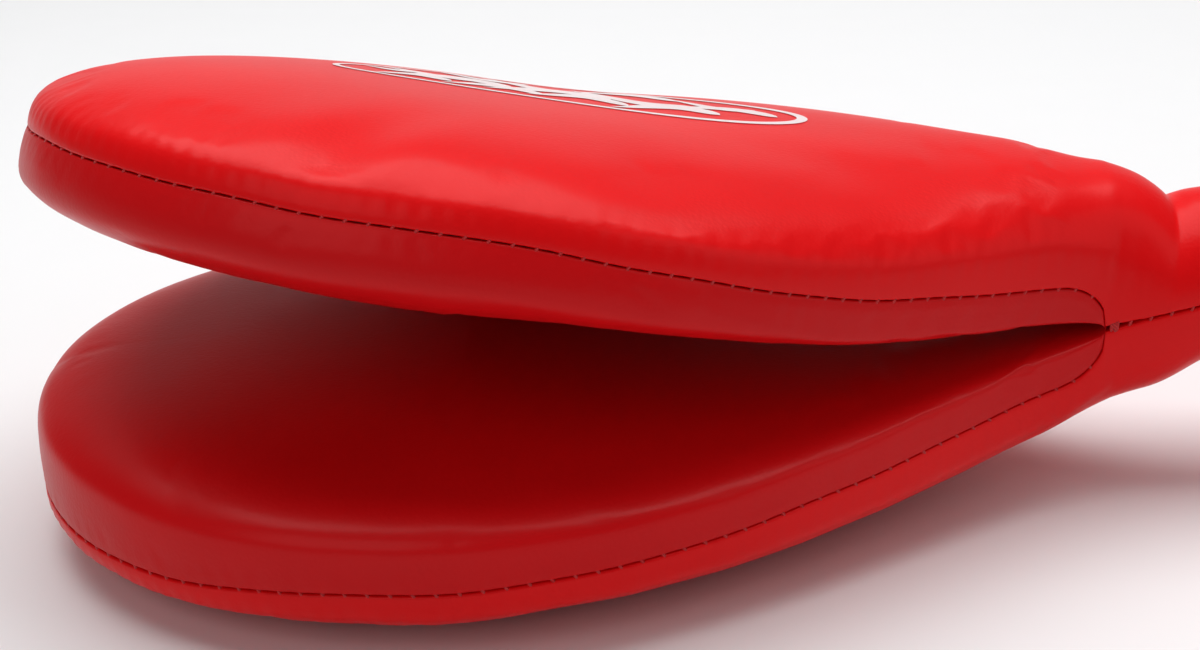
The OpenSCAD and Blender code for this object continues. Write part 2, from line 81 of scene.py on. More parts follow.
class PaddleSizes(bpy.types.PropertyGroup):
    """Driving sizes of the paddle, in millimetres and degrees"""
    leaf_l: FloatProperty(name="Leaf length", description="From the crotch to the tip", default=250)
    leaf_half_w: FloatProperty(name="Leaf half width", description="At its widest place", default=93)
    wide_s: FloatProperty(name="Widest place", description="From the crotch", default=147.5)
    neck_half_w: FloatProperty(name="Neck half width", description="At the crotch", default=21.5)
    crown_h: FloatProperty(name="Crown", description="Of a strike face over its seam", default=21.25)
    neck_crown_h: FloatProperty(name="Neck crown", description="At the crotch", default=25.2)
    seam_h: FloatProperty(name="Seam climb", description="Seam over the parting plane", default=9.7)
    seam_run: FloatProperty(name="Seam run", description="Length of the seam's climb", default=12.5)
    belly_h: FloatProperty(name="Belly", description="Depth of an inner face", default=12.2)
    wall_h: FloatProperty(name="Side wall", description="Height under the seam", default=7)
    wall_bulge: FloatProperty(name="Wall bulge", description="Beyond the seam", default=0.75)
    crotch_x: FloatProperty(name="Crotch X", description="Place of the crotch", default=150)
    crotch_z: FloatProperty(name="Crotch Z", description="Height of the crotch", default=43.8)
    handle_l: FloatProperty(name="Handle length", description="From the crotch", default=136)
    handle_a: FloatProperty(name="Handle climb", description="Degrees to the floor", default=10.4)
    grip_r: FloatProperty(name="Grip radius", description="Outside", default=19.4)
    stitch: FloatProperty(name="Stitch pitch", description="Along every seam", default=4.8)
    tab_out: FloatProperty(name="Tab", description="Stands out of the butt", default=8.5)
    web_w: FloatProperty(name="Webbing width", description="Of the wrist loop", default=16.2)
    web_t: FloatProperty(name="Webbing thickness", description="Of the wrist loop", default=1.6)
    loop_drop: FloatProperty(name="Loop drop", description="Pivot to round end", default=46)
    loop_r: FloatProperty(name="Loop radius", description="Outside, at its round end", default=13)


class PaddleColours(bpy.types.PropertyGroup):
    """Linear colours of the paddle"""
    leather: FloatVectorProperty(
        name="Leather", description="Strike and grip panels", subtype="COLOR",
        default=(0.78, 0.0035, 0.005))
    # Inner panels: a darker copy of the strike leather, painted shade for the inner faces and side
    # walls between and under the leaves
    inner: FloatVectorProperty(
        name="Inner leather with painted shade", description="Inner panels", subtype="COLOR",
        default=(0.62, 0.004, 0.006))
    thread: FloatVectorProperty(
        name="Thread", description="Seam stitches", subtype="COLOR", default=(0.6, 0.004, 0.006))
    ink: FloatVectorProperty(
        name="Ink", description="Face print", subtype="COLOR", default=(0.86, 0.80, 0.80))
    webbing: FloatVectorProperty(
        name="Webbing", description="Wrist loop", subtype="COLOR", default=(0.018, 0.018, 0.02))
    floor: FloatVectorProperty(
        name="Floor", description="Stage", subtype="COLOR", default=(0.86, 0.86, 0.865))


# ---- number helpers ----

def clamp01(u):
    return np.clip(u, 0.0, 1.0)


def rise(u):
    return np.sqrt(np.maximum(0.0, 1 - (1 - clamp01(u)) ** 2))


def smooth(u):
    k = clamp01(u)
    return k * k * (3 - 2 * k)


def mix(a, b, k):
    return a + (b - a) * k


def wander(x, seed):
    """A smooth irregular wave between about -1 and 1."""
    return (np.sin(x + seed) + 0.7 * np.sin(2.13 * x + 1.9 * seed)
            + 0.5 * np.sin(3.71 * x + 3.3 * seed)) / 1.9


def bump(x, at, wide):
    return np.exp(-((x - at) / wide) ** 2)


# ---- leaf shape: s runs from the crotch to the tip and is negative along the handle ----

NOSE_N = 2.08        # roundness of the tip's outline
TAPER_N = 1.28       # how fast a leaf widens from the crotch
CROWN_N = (2.46, 2.45)  # roundness of a strike face, across and in height
BELLY_N = 3.13       # roundness of an inner face
CROWN_RUN = 127.5    # length over which the upper crown settles
PART_GAP = 0.55      # from the parting plane to the first row of each half
NOSE_SPREAD = 66.0   # how far the middle line runs on past the widest place
SHOULDER = (2.5, 25.0)  # drop of the upper crown at the crotch, and its length
LOW_NECK_H = 13.4    # lower crown at the crotch
LOW_RUN = 70.0       # length over which the lower crown rises
SLACK_DROP = 0.2     # how much lower a skin starts before it is swelled

# Keyed by whether the leaf is the upper one.
MITRE = {True: (-14.0, -32.0), False: (22.0, -26.0)}  # where a section turns to the grip's lean
# Start and length of the change to the grip's section, its first height, and the start and
# length of that height's change to the grip's radius.
NECK = {True: (-5.0, 20.5, 20.6, 12.0, 30.0), False: (8.0, 20.0, 18.7, 40.0, 40.0)}


class Leaf:
    """One leaf with its half of the handle, in millimetres."""

    def __init__(self, size, up):
        self.size = size
        self.up = up
        self.sign = 1 if up else -1
        self.root_a, self.tip_a = (8.3, 11.6) if up else (-9.9, 4.2)
        self.twist = -11.6 if up else 0.0
        self.nose_l = size.leaf_l - size.wide_s
        self.mitre = MITRE[up]
        self.neck = NECK[up]

    def half_w(self, s):
        z = self.size
        eased = (s + np.sqrt(s * s + 64)) / 2
        share = np.sin(np.radians(90 * clamp01(eased / z.wide_s))) ** TAPER_N
        on_leaf = mix(z.neck_half_w - 0.9, z.leaf_half_w, share)
        return np.where(s < 0, mix(on_leaf, z.grip_r, smooth((-s - 8) / 22)), on_leaf)

    def neck_blend(self, u):
        share = (u - self.neck[0]) / self.neck[1]
        return clamp01(share) ** 1.9 if self.up else smooth(share)

    def nose_r(self, a):
        c = (np.abs(np.cos(a)) / self.nose_l) ** NOSE_N
        return (c + (np.abs(np.sin(a)) / self.size.leaf_half_w) ** NOSE_N) ** (-1 / NOSE_N)

    def seam_z(self, s):
        on_leaf = PART_GAP + self.size.seam_h * rise(s / self.size.seam_run)
        return np.where(s < 0, mix(PART_GAP, 0.08, clamp01(-s / 10)), on_leaf)

    def dip(self, s):
        """How much lower the lower leaf's seam runs round its tip."""
        return 0 * s if self.up else 5.0 * smooth((s - 165) / 70)

    def crown(self, s):
        z = self.size
        if self.up:
            drop = SHOULDER[0] * (1 - smooth(s / SHOULDER[1]))
            along = (np.maximum(s, 0.0) + 6) / (CROWN_RUN + 6)
            over = mix(z.neck_crown_h, z.crown_h, rise(along)) - drop
        else:
            over = mix(LOW_NECK_H, z.crown_h, np.sin(np.radians(90 * clamp01(s / LOW_RUN))))
        on_leaf = PART_GAP + z.seam_h + over - self.seam_z(np.maximum(s, 0.0))
        grip = mix(self.neck[2], z.grip_r, smooth((-s - self.neck[3]) / self.neck[4]))
        eased = 0.165 * (np.sqrt(s * s + 16) - np.abs(s)) * self.up
        return mix(on_leaf + eased, grip, self.neck_blend(-s)) - SLACK_DROP * smooth((s + 4) / 20)

    def share(self, s, y, beyond=0.0):
        """How far out a point lies, from 0 in the middle to 1 at the seam."""
        ahead = np.maximum(0.0, s - self.size.wide_s)
        radius = self.nose_r(np.arctan2(np.abs(y), np.maximum(ahead, 1e-6))) + beyond
        flank = np.abs(y) / (self.half_w(np.minimum(s, self.size.wide_s)) + beyond)
        return clamp01(np.where(s > self.size.wide_s, np.hypot(ahead, y) / radius, flank))

    def strike_z(self, s, y, lift=0.0):
        k = self.share(s, y)
        on = np.minimum(s, self.size.wide_s)
        soft = mix(CROWN_N[1], 2.0, self.neck_blend(-s))
        wide = mix(CROWN_N[0], 2.0, self.neck_blend(-s))
        total = self.crown(on) + self.seam_z(on)
        low = self.seam_z(on) + self.dip(s) + lift
        base = PART_GAP + self.size.seam_h * smooth((on + 8) / 26) + self.dip(s) + lift
        full = (1 - k ** wide) ** (1 / soft)
        return base + (total - base) * full + (low - base) * k ** 14

    def place(self, s, y, z):
        """Leaf coordinates to the paddle's own, as an array of points."""
        size = self.size
        z0 = self.sign * z
        r = np.radians(self.twist) * smooth(s / 150)
        across = y * np.cos(r) - z0 * np.sin(r)
        out = z0 * np.cos(r) + y * np.sin(r)
        bend = (self.tip_a - self.root_a) / size.leaf_l
        on = np.maximum(s, 0.0)
        a = np.radians(self.root_a + bend * on)
        k = math.radians(bend)
        a0 = math.radians(self.root_a)
        h = math.radians(size.handle_a)
        back = np.maximum(-s, 0.0)
        base_x = -(np.sin(a) - math.sin(a0)) / k + back * math.cos(h)
        base_z = -(np.cos(a) - math.cos(a0)) / k + back * math.sin(h)
        tilt = mix(a, -h, smooth((self.mitre[0] - s) / (self.mitre[0] - self.mitre[1])))
        x = size.crotch_x + base_x + out * np.sin(tilt)
        height = size.crotch_z + base_z + out * np.cos(tilt)
        return np.stack([x, across, height], axis=-1)

    def stations(self, step):
        """Along half of the outline: seam point s and y, middle point s, and seam length."""
        size = self.size
        n = round(size.wide_s / step)
        s = np.linspace(0, size.wide_s, n + 1)
        m = round(150 / step)
        a = np.radians(90 * (1 - np.arange(1, m + 1) / m))
        r = self.nose_r(a)
        edge_s = np.concatenate([s, size.wide_s + r * np.cos(a)])
        edge_y = np.concatenate([self.half_w(s), r * np.sin(a)])
        mid_s = np.concatenate([s, size.wide_s + NOSE_SPREAD * (1 - np.sin(a))])
        run = np.concatenate([[0], np.cumsum(np.hypot(np.diff(edge_s), np.diff(edge_y)))])
        return edge_s, edge_y, mid_s, run


# ---- mesh helpers ----

def new_object(name, verts, faces):
    mesh = bpy.data.meshes.new(name)
    mesh.from_pydata([tuple(v) for v in verts], [], [tuple(f) for f in faces])
    mesh.validate()
    obj = bpy.data.objects.new(name, mesh)
    bpy.context.scene.collection.objects.link(obj)
    return obj


def tidy_mesh(obj, inside=None, join=2e-5):
    """Joins doubled points, points the faces away from a place inside, and shades smooth."""
    bm = bmesh.new()
    bm.from_mesh(obj.data)
    bmesh.ops.remove_doubles(bm, verts=bm.verts, dist=join)
    bmesh.ops.dissolve_degenerate(bm, edges=bm.edges, dist=1e-6)
    if inside is None:
        bmesh.ops.recalc_face_normals(bm, faces=bm.faces)
    else:
        away = sum(f.normal.dot(f.calc_center_median() - inside) * f.calc_area() for f in bm.faces)
        if away < 0:
            bmesh.ops.reverse_faces(bm, faces=bm.faces)
    bm.to_mesh(obj.data)
    bm.free()
    obj.data.shade_smooth()
    return obj


def sheet(name, points, inside=None, around=False, free=None):
    """A smooth sheet through rows and columns of points in millimetres."""
    rows, cols = points.shape[:2]
    wrap = cols if around else cols - 1
    faces = []
    for i in range(rows - 1):
        for j in range(wrap):
            k = (j + 1) % cols
            faces.append((i * cols + j, (i + 1) * cols + j, (i + 1) * cols + k, i * cols + k))
    obj = new_object(name, points.reshape(-1, 3) * MM, faces)
    if free is not None:
        loose = obj.data.attributes.new("free", "FLOAT", "POINT")
        loose.data.foreach_set("value", free.reshape(-1).astype(np.float32))
    return tidy_mesh(obj, inside)


def vertex_array(mesh):
    flat = np.empty(len(mesh.vertices) * 3, dtype=np.float32)
    mesh.vertices.foreach_get("co", flat)
    return flat.reshape(-1, 3).astype(float)


def settle(obj, pressure, slack, cap):
    """Swells a skin between its pinned seams by cloth simulation, within a cap in millimetres."""
    free = np.empty(len(obj.data.vertices), dtype=np.float32)
    obj.data.attributes["free"].data.foreach_get("value", free)
    pins = obj.vertex_groups.new(name="pins")
    for i, share in enumerate(free):
        pins.add([i], float(1 - share), "REPLACE")
    before = vertex_array(obj.data)
    cloth = obj.modifiers.new("cloth", "CLOTH")
    cloth.settings.quality = 5
    cloth.settings.mass = 0.25
    cloth.settings.tension_stiffness = 25
    cloth.settings.compression_stiffness = 25
    cloth.settings.shear_stiffness = 8
    cloth.settings.bending_stiffness = 2.5
    cloth.settings.vertex_group_mass = "pins"
    cloth.settings.use_pressure = True
    cloth.settings.uniform_pressure_force = pressure
    cloth.settings.shrink_min = -slack
    cloth.settings.shrink_max = -slack
    cloth.settings.effector_weights.gravity = 0
    cloth.collision_settings.use_collision = False
    cloth.point_cache.frame_start = 1
    cloth.point_cache.frame_end = 20
    for step in range(1, 21):
        bpy.context.scene.frame_set(step)
    made = obj.evaluated_get(bpy.context.evaluated_depsgraph_get())
    after = vertex_array(made.to_mesh())
    made.to_mesh_clear()
    obj.modifiers.remove(cloth)
    obj.vertex_groups.remove(pins)
    bpy.context.scene.frame_set(1)
    moved = after - before
    length = np.maximum(np.linalg.norm(moved, axis=1, keepdims=True), 1e-9)
    moved = moved / length * cap * MM * np.tanh(length / (cap * MM)) * free[:, None]
    placed = before + moved
    placed[:, 2] = np.maximum(placed[:, 2], 0.0)
    obj.data.vertices.foreach_set("co", placed.astype(np.float32).reshape(-1))
    obj.data.update()


def grid_normals(points):
    """Unit normals of a grid of points, by differences along its rows and columns."""
    du = np.gradient(points, axis=0)
    dv = np.gradient(points, axis=1)
    n = np.cross(du, dv)
    return n / np.maximum(np.linalg.norm(n, axis=-1, keepdims=True), 1e-9)


# ---- the sewn panels ----

EDGE_ROLL = 0.65     # radius that a panel's edge turns in with at a seam
TUCK = 2.2           # how far a panel's edge reaches inside the seam
GAPE = (0.03, 0.15)  # half opening of a seam at a stitch and between stitches


def seam_open(run, pitch):
    """Half opening of the seam along its length, drawn shut at each stitch."""
    return mix(GAPE[0], GAPE[1], np.abs(np.sin(np.pi * run / pitch)) ** 0.8)


def seam_sway(run, seed):
    """The seam wanders a little up and down along its length."""
    return 0.35 * wander(run / 19, seed) * smooth(run / 30)


def mirrored(half):
    """Joins a half sheet, middle to edge, with its mirror image across the middle."""
    s, y, z, d = half
    return tuple(np.concatenate([flip * a[:, :0:-1], a], axis=1)
                 for a, flip in ((s, 1), (y, -1), (z, 1), (d, 1)))


def strike_rows(leaf, seed):
    """Half of a strike panel, from the butt to the tip: s, y, z and distance to the seam."""
    size = leaf.size
    edge_s, edge_y, mid_s, run = leaf.stations(1.2)
    back = np.linspace(size.handle_l - 3.0, 0, 116)[:-1]
    s_all = np.concatenate([-back, edge_s])
    y_all = np.concatenate([leaf.half_w(-back), edge_y])
    mid_all = np.concatenate([-back, mid_s])
    run_all = np.concatenate([-back, run])
    phi = np.radians(np.linspace(0, 90, 43))
    q = np.sin(phi) ** (2 / mix(CROWN_N[0], 2.0, leaf.neck_blend(-s_all[:, None])))
    s = mid_all[:, None] + (s_all - mid_all)[:, None] * q
    y = y_all[:, None] * q
    gap = seam_open(run_all, size.stitch)[:, None]
    z = leaf.strike_z(s, y, lift=EDGE_ROLL + GAPE[0]) + (gap - GAPE[0]) * q ** 40
    z = z + (seam_sway(run_all, seed) * (run_all > 0))[:, None] * q ** 6
    out_s, out_y = out_direction(s_all - mid_all, y_all)
    turn = np.radians([25, 55, 90])
    set_in = np.concatenate([EDGE_ROLL * (1 - np.cos(turn)), [TUCK]])
    drop = np.concatenate([EDGE_ROLL * np.sin(turn), [EDGE_ROLL]])
    roll_s = s_all[:, None] - out_s[:, None] * set_in
    roll_y = y_all[:, None] - out_y[:, None] * set_in
    roll_z = z[:, -1:] - drop
    roll_z[:, -1:] -= 0.6 * gap
    dist = np.concatenate([(1 - q) * np.hypot(s_all - mid_all, y_all)[:, None],
                           np.zeros((len(s_all), 4))], axis=1)
    return (np.concatenate([s, roll_s], axis=1), np.concatenate([y, roll_y], axis=1),
            np.concatenate([z, roll_z], axis=1), dist), run_all


def out_direction(ds, dy):
    length = np.maximum(np.hypot(ds, dy), 1e-6)
    return ds / length, dy / length


def inner_rows(leaf, seed):
    """Half of an inner panel, from just behind the crotch to the tip."""
    size = leaf.size
    edge_s, edge_y, mid_s, run = leaf.stations(1.2)
    back = np.array([6.0, 4.5, 3.0, 1.5])
    s_all = np.concatenate([-back, edge_s])
    y_all = np.concatenate([leaf.half_w(-back) - 2.6, edge_y])
    mid_all = np.concatenate([-back, mid_s])
    run_all = np.concatenate([-back, run])
    on = np.minimum(s_all, size.wide_s)
    e = np.maximum(0.02, rise(on / size.seam_run))[:, None]
    dip = leaf.dip(s_all)[:, None]
    seam = (leaf.seam_z(on) + seam_sway(run_all, seed) * (run_all > 0))[:, None] + dip
    belly = size.belly_h * clamp01(on / size.wide_s)[:, None] ** 1.35
    wall = size.wall_h * e + dip
    bulge = size.wall_bulge * e
    depth = belly + seam - PART_GAP
    out_s, out_y = (a[:, None] for a in out_direction(s_all - mid_all, y_all))

    phi = np.radians(np.linspace(0, 90, 27))
    q = (np.sin(phi) ** (2 / BELLY_N))[None, :]
    face_s = mid_all[:, None] + ((s_all - mid_all)[:, None] + out_s * bulge) * q
    face_y = (y_all[:, None] + out_y * bulge) * q
    k = leaf.share(face_s, face_y, beyond=float(size.wall_bulge))
    k = np.where(s_all[:, None] < size.wide_s + 0.1, q + 0 * k, k)
    face_z = seam - wall - (depth - wall) * (1 - k ** BELLY_N) ** (1 / BELLY_N)

    gap = seam_open(run_all, size.stitch)[:, None]
    u = np.linspace(0, 1, 8)[None, 1:]
    wall_z = seam - wall * (1 - u) - (gap + EDGE_ROLL) * u
    wall_out = bulge * np.cos(np.radians(90) * u)
    turn = np.radians([35, 65, 90])
    roll_in = np.concatenate([EDGE_ROLL * (1 - np.cos(turn)), [TUCK]])[None, :]
    roll_up = np.concatenate([EDGE_ROLL * np.sin(turn), [EDGE_ROLL]])[None, :]
    out = np.concatenate([wall_out, -roll_in + 0 * seam], axis=1)
    z = np.concatenate([wall_z, wall_z[:, -1:] + roll_up], axis=1)
    s = np.concatenate([face_s, s_all[:, None] + out_s * out], axis=1)
    y = np.concatenate([face_y, y_all[:, None] + out_y * out], axis=1)
    z = np.concatenate([face_z, z], axis=1)
    flat = 1 - smooth((s_all + 6) / 6)[:, None]
    z = z * (1 - flat) + 0.1 * flat
    dist = np.concatenate([(1 - q) * np.hypot(s_all - mid_all, y_all)[:, None] + wall,
                           wall * (1 - u), np.zeros((len(s_all), 4))], axis=1)
    return (s, y, z, dist), run_all


def puckers(y, dist, run, pitch, seed, strength):
    """How far the skin stands out or in: gathers at the stitches and soft creases."""
    row = run[:, None]
    side = np.where(y < 0, 0.0, 2.4)
    at_stitch = np.abs(np.cos(np.pi * row / pitch)) ** 3
    pull = -0.26 * at_stitch * np.exp(-dist / 1.7)
    ridge = 0.22 * bump(dist, 1.6, 1.2)
    gathers = 0.07 * wander(row / 3.6 + side, seed) * bump(dist, 3.0, 3.5)
    folds = 0.16 * wander(row / 13 + 2 * side, seed + 2.2) * bump(dist, 7, 8)
    return strength * (pull + ridge + gathers + folds) * smooth((row + 20) / 14)


def dimples(s, y, list_of_dimples):
    """Soft dents and swells at places on the skin."""
    total = 0.0 * s
    for at_s, at_y, long, wide, turn, deep in list_of_dimples:
        c, n = math.cos(math.radians(turn)), math.sin(math.radians(turn))
        u = (s - at_s) * c + (y - at_y) * n
        v = -(s - at_s) * n + (y - at_y) * c
        total = total + deep * np.exp(-(u / long) ** 2 - (v / wide) ** 2)
    return total


def neck_crease(leaf, s, y):
    """The fold behind the upper leaf's shoulder, deepest over the top of the neck."""
    if not leaf.up:
        return 0 * s
    near = smooth((y + 20) / 16)
    return near * (0.1 * bump(s, -11 + 0.4 * y, 3.0) - 0.2 * bump(s, -18.5 + 0.4 * y, 2.4))


UPPER_DIMPLES = [(173, -78, 9, 26, 28, -1.3), (158, -80, 8, 22, 20, 0.5), (107, -66, 12, 20, -24, -0.8),
                 (196, -60, 16, 30, 40, -0.5), (60, -30, 26, 12, 12, -0.6), (128, 60, 20, 30, 0, -0.7)]
LOWER_DIMPLES = [(120, -60, 22, 28, 12, -0.6), (180, 50, 20, 30, -20, -0.6)]


def skin(name, leaf, rows, seed, strength, dents, inside):
    half, run = rows(leaf, seed)
    s, y, z, dist = mirrored(half)
    points = leaf.place(s, y, z)
    normal = grid_normals(points)
    middle = normal[len(normal) // 2, normal.shape[1] // 2]
    outward = leaf.sign if rows is strike_rows else -leaf.sign
    normal = normal * (1 if middle[2] * outward > 0 else -1)
    swell = puckers(y, dist, run, leaf.size.stitch, seed, strength)
    swell = swell + dimples(s, y, dents) * smooth((dist - 1) / 5) + neck_crease(leaf, s, y)
    still = np.clip(dist / 0.4, 0, 1)
    points = points + normal * (swell * still)[..., None]
    points[..., 2] = np.maximum(points[..., 2], 0.0)
    free = smooth((dist - 0.6) / 2.5) * smooth((s - 4) / 14)
    obj = sheet(name, points, inside, free=free)
    settle(obj, pressure=2.0, slack=0.0025, cap=0.2)
    return obj


# ---- shader helper ----

class Shade:
    """A shader socket that can stand in sums."""

    def __init__(self, tree, socket=None):
        self.tree = tree
        self.socket = socket

    def node(self, kind, settings, inputs, out=0):
        """Adds any node: its settings first, then values or links for its inputs."""
        made = self.tree.nodes.new(kind)
        for key, value in settings.items():
            setattr(made, key, value)
        for key, value in inputs.items():
            if isinstance(value, Shade):
                self.tree.links.new(value.socket, made.inputs[key])
            else:
                made.inputs[key].default_value = value
        return Shade(self.tree, made.outputs[out])

    def maths(self, operation, *values):
        return self.node("ShaderNodeMath", {"operation": operation}, dict(enumerate(values)))

    def __add__(self, other):
        return self.maths("ADD", self, other)

    __radd__ = __add__

    def __rsub__(self, other):
        return self.maths("SUBTRACT", other, self)

    def __mul__(self, other):
        return self.maths("MULTIPLY", self, other)

    __rmul__ = __mul__


def principled(name, base, rough, values=None):
    """A new material with its Principled shader, the helper and object coordinates."""
    material = bpy.data.materials.new(name)
    material.use_nodes = True
    tree = material.node_tree
    shader = tree.nodes["Principled BSDF"]
    shader.inputs["Base Color"].default_value = (*base, 1)
    shader.inputs["Roughness"].default_value = rough
    for key, value in (values or {}).items():
        shader.inputs[key].default_value = value
    shade = Shade(tree)
    place = shade.node("ShaderNodeTexCoord", {}, {}, "Object")
    return material, shader, shade, place


def noise(shade, place, scale, detail=3.0, rough=0.55):
    return shade.node("ShaderNodeTexNoise", {}, {
        "Vector": place, "Scale": scale, "Detail": detail, "Roughness": rough}, "Fac")


def tint(shade, share, low, high):
    return shade.node("ShaderNodeMix", {"data_type": "RGBA"}, {
        0: share, 6: (*low, 1), 7: (*high, 1)}, 2)


def put(shade, shader, key, value):
    shade.tree.links.new(value.socket, shader.inputs[key])


def relief(shade, shader, height, distance, strength=1.0):
    bumped = shade.node("ShaderNodeBump", {}, {
        "Height": height, "Distance": distance, "Strength": strength})
    put(shade, shader, "Normal", bumped)


def leather(name, colour):
    """Smooth coated leather with a fine grain and slow changes of colour and gloss."""
    material, shader, shade, place = principled(name, colour, 0.3, {
        "Coat Weight": 0.07, "Coat Roughness": 0.2, "Specular IOR Level": 0.1})
    slow = noise(shade, place, 14.0, 2.0)
    fine = noise(shade, place, 900.0, 2.0)
    dark = tuple(0.86 * c for c in colour)
    light = tuple(min(1.0, 1.07 * c) for c in colour)
    put(shade, shader, "Base Color", tint(shade, slow, dark, light))
    put(shade, shader, "Roughness", 0.29 + 0.09 * slow + 0.05 * fine)
    cells = shade.node("ShaderNodeTexVoronoi", {"feature": "SMOOTH_F1"}, {
        "Vector": place, "Scale": 1050.0, "Smoothness": 0.6}, "Distance")
    swell = noise(shade, place, 120.0, 2.0)
    relief(shade, shader, cells * 0.35 + fine * 0.2 + swell * 0.6, 0.00016, 0.55)
    return material


def thread_material(name, colour):
    material, shader, shade, place = principled(name, colour, 0.55, {
        "Sheen Weight": 0.05, "Sheen Roughness": 0.4})
    ply = shade.node("ShaderNodeTexWave", {"wave_type": "BANDS", "bands_direction": "DIAGONAL"}, {
        "Vector": place, "Scale": 700.0, "Distortion": 0.6}, "Fac")
    put(shade, shader, "Base Color", tint(shade, ply, tuple(0.7 * c for c in colour), colour))
    relief(shade, shader, ply, 0.00012, 0.8)
    return material


def webbing_material(name, colour):
    material, shader, shade, place = principled(name, colour, 0.7, {
        "Sheen Weight": 0.35, "Sheen Roughness": 0.5})
    warp = shade.node("ShaderNodeTexWave", {"bands_direction": "Y"}, {
        "Vector": place, "Scale": 180.0, "Distortion": 0.2}, "Fac")
    weft = shade.node("ShaderNodeTexWave", {"bands_direction": "Z"}, {
        "Vector": place, "Scale": 230.0, "Distortion": 0.4}, "Fac")
    weave = warp * weft + 0.25 * noise(shade, place, 1500.0)
    light = tuple(2.6 * c for c in colour)
    put(shade, shader, "Base Color", tint(shade, weave, colour, light))
    put(shade, shader, "Roughness", 0.8 - 0.2 * weave)
    relief(shade, shader, weave, 0.0003, 0.8)
    return material


def ink_material(name, colour):
    material, shader, shade, place = principled(name, colour, 0.38, {"Coat Weight": 0.25})
    patchy = noise(shade, place, 260.0, 4.0)
    worn = tuple(c * k for c, k in zip(colour, (1.0, 0.78, 0.78)))
    put(shade, shader, "Base Color", tint(shade, patchy, worn, colour))
    put(shade, shader, "Roughness", 0.3 + 0.2 * patchy)
    relief(shade, shader, patchy, 0.00005, 0.5)
    return material


def foam_material(name, colour):
    material, shader, shade, place = principled(name, colour, 0.9)
    cells = shade.node("ShaderNodeTexVoronoi", {}, {"Vector": place, "Scale": 900.0}, "Distance")
    put(shade, shader, "Base Color", tint(shade, cells, tuple(0.6 * c for c in colour), colour))
    relief(shade, shader, cells, 0.0004, 0.7)
    return material


def plain_material(name, colour, rough, metal=0.0):
    material, shader, shade, place = principled(name, colour, rough, {"Metallic": metal})
    scuff = noise(shade, place, 320.0, 4.0)
    put(shade, shader, "Base Color", tint(shade, scuff, tuple(0.82 * c for c in colour), colour))
    put(shade, shader, "Roughness", (rough - 0.06) + 0.14 * scuff)
    relief(shade, shader, scuff, 0.00006, 0.5)
    return material


def dress(obj, material):
    obj.data.materials.clear()
    obj.data.materials.append(material)


# ---- operators ----

STRIKE = {True: "upper_strike_panel", False: "lower_strike_panel"}
INNER = {True: "upper_inner_panel", False: "lower_inner_panel"}
PREFIX = {True: "upper", False: "lower"}
SEED = {True: 1.3, False: 4.1}


def sizes():
    return bpy.context.scene.paddle_sizes


def colours():
    return bpy.context.scene.paddle_colours


def flex(obj):
    """Bakes a sewn piece's placement into its mesh."""
    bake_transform(obj)


def leaf_inside(leaf):
    size = leaf.size
    middle = leaf.place(np.array([size.wide_s * 0.8]), np.array([0.0]), np.array([8.0]))[0]
    return Vector(middle) * MM


class PADDLE_OT_strike_panels(bpy.types.Operator):
    """Sew both strike panels, each running on as its half of the grip"""
    bl_idname = "paddle.strike_panels"
    bl_label = "Strike panels"

    def execute(self, context):
        material = leather("red_leather", colours().leather)
        for up in (True, False):
            leaf = Leaf(sizes(), up)
            dents = UPPER_DIMPLES if up else LOWER_DIMPLES
            obj = skin(STRIKE[up], leaf, strike_rows, SEED[up], 1.0, dents, leaf_inside(leaf))
            dress(obj, material)
            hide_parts(PREFIX[up] + "_strike_cover", "grip_cover_" + PREFIX[up])
            flex(obj)
        return {"FINISHED"}


class PADDLE_OT_inner_panels(bpy.types.Operator):
    """Sew both inner panels, each with the side wall of its leaf"""
    bl_idname = "paddle.inner_panels"
    bl_label = "Inner panels"

    def execute(self, context):
        # The inner panels take the darker copy of the leather: painted shade
        material = leather("red_leather_inner", colours().inner)
        for up in (True, False):
            leaf = Leaf(sizes(), up)
            obj = skin(INNER[up], leaf, inner_rows, SEED[up], 0.8, [], leaf_inside(leaf))
            dress(obj, material)
            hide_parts(PREFIX[up] + "_inner_cover")
            flex(obj)
        return {"FINISHED"}


def capsule(centre, along, across, long, thick, sides=6):
    """Rings of a rounded stitch that lies along a direction."""
    x = along.normalized()
    y = (across - x * across.dot(x)).normalized()
    z = x.cross(y)
    verts = []
    for place, wide in ((-1, 0.0), (-0.86, 0.62), (-0.4, 1.0), (0.4, 1.0), (0.86, 0.62), (1, 0.0)):
        for i in range(sides):
            a = 2 * math.pi * i / sides
            spread = (y * math.cos(a) + z * math.sin(a)) * wide * thick / 2
            verts.append(centre + x * (place * long / 2) + spread)
    faces = [(r * sides + i, (r + 1) * sides + i, (r + 1) * sides + (i + 1) % sides,
              r * sides + (i + 1) % sides) for r in range(5) for i in range(sides)]
    return verts, faces


def stitches(name, marks, long, thick):
    """One mesh of stitches from their centres, directions and sideways directions."""
    verts, faces = [], []
    for centre, along, across in marks:
        v, f = capsule(Vector(centre) * MM, Vector(along), Vector(across), long * MM, thick * MM)
        faces += [tuple(i + len(verts) for i in quad) for quad in f]
        verts += v
    return tidy_mesh(new_object(name, verts, faces), join=1e-7)


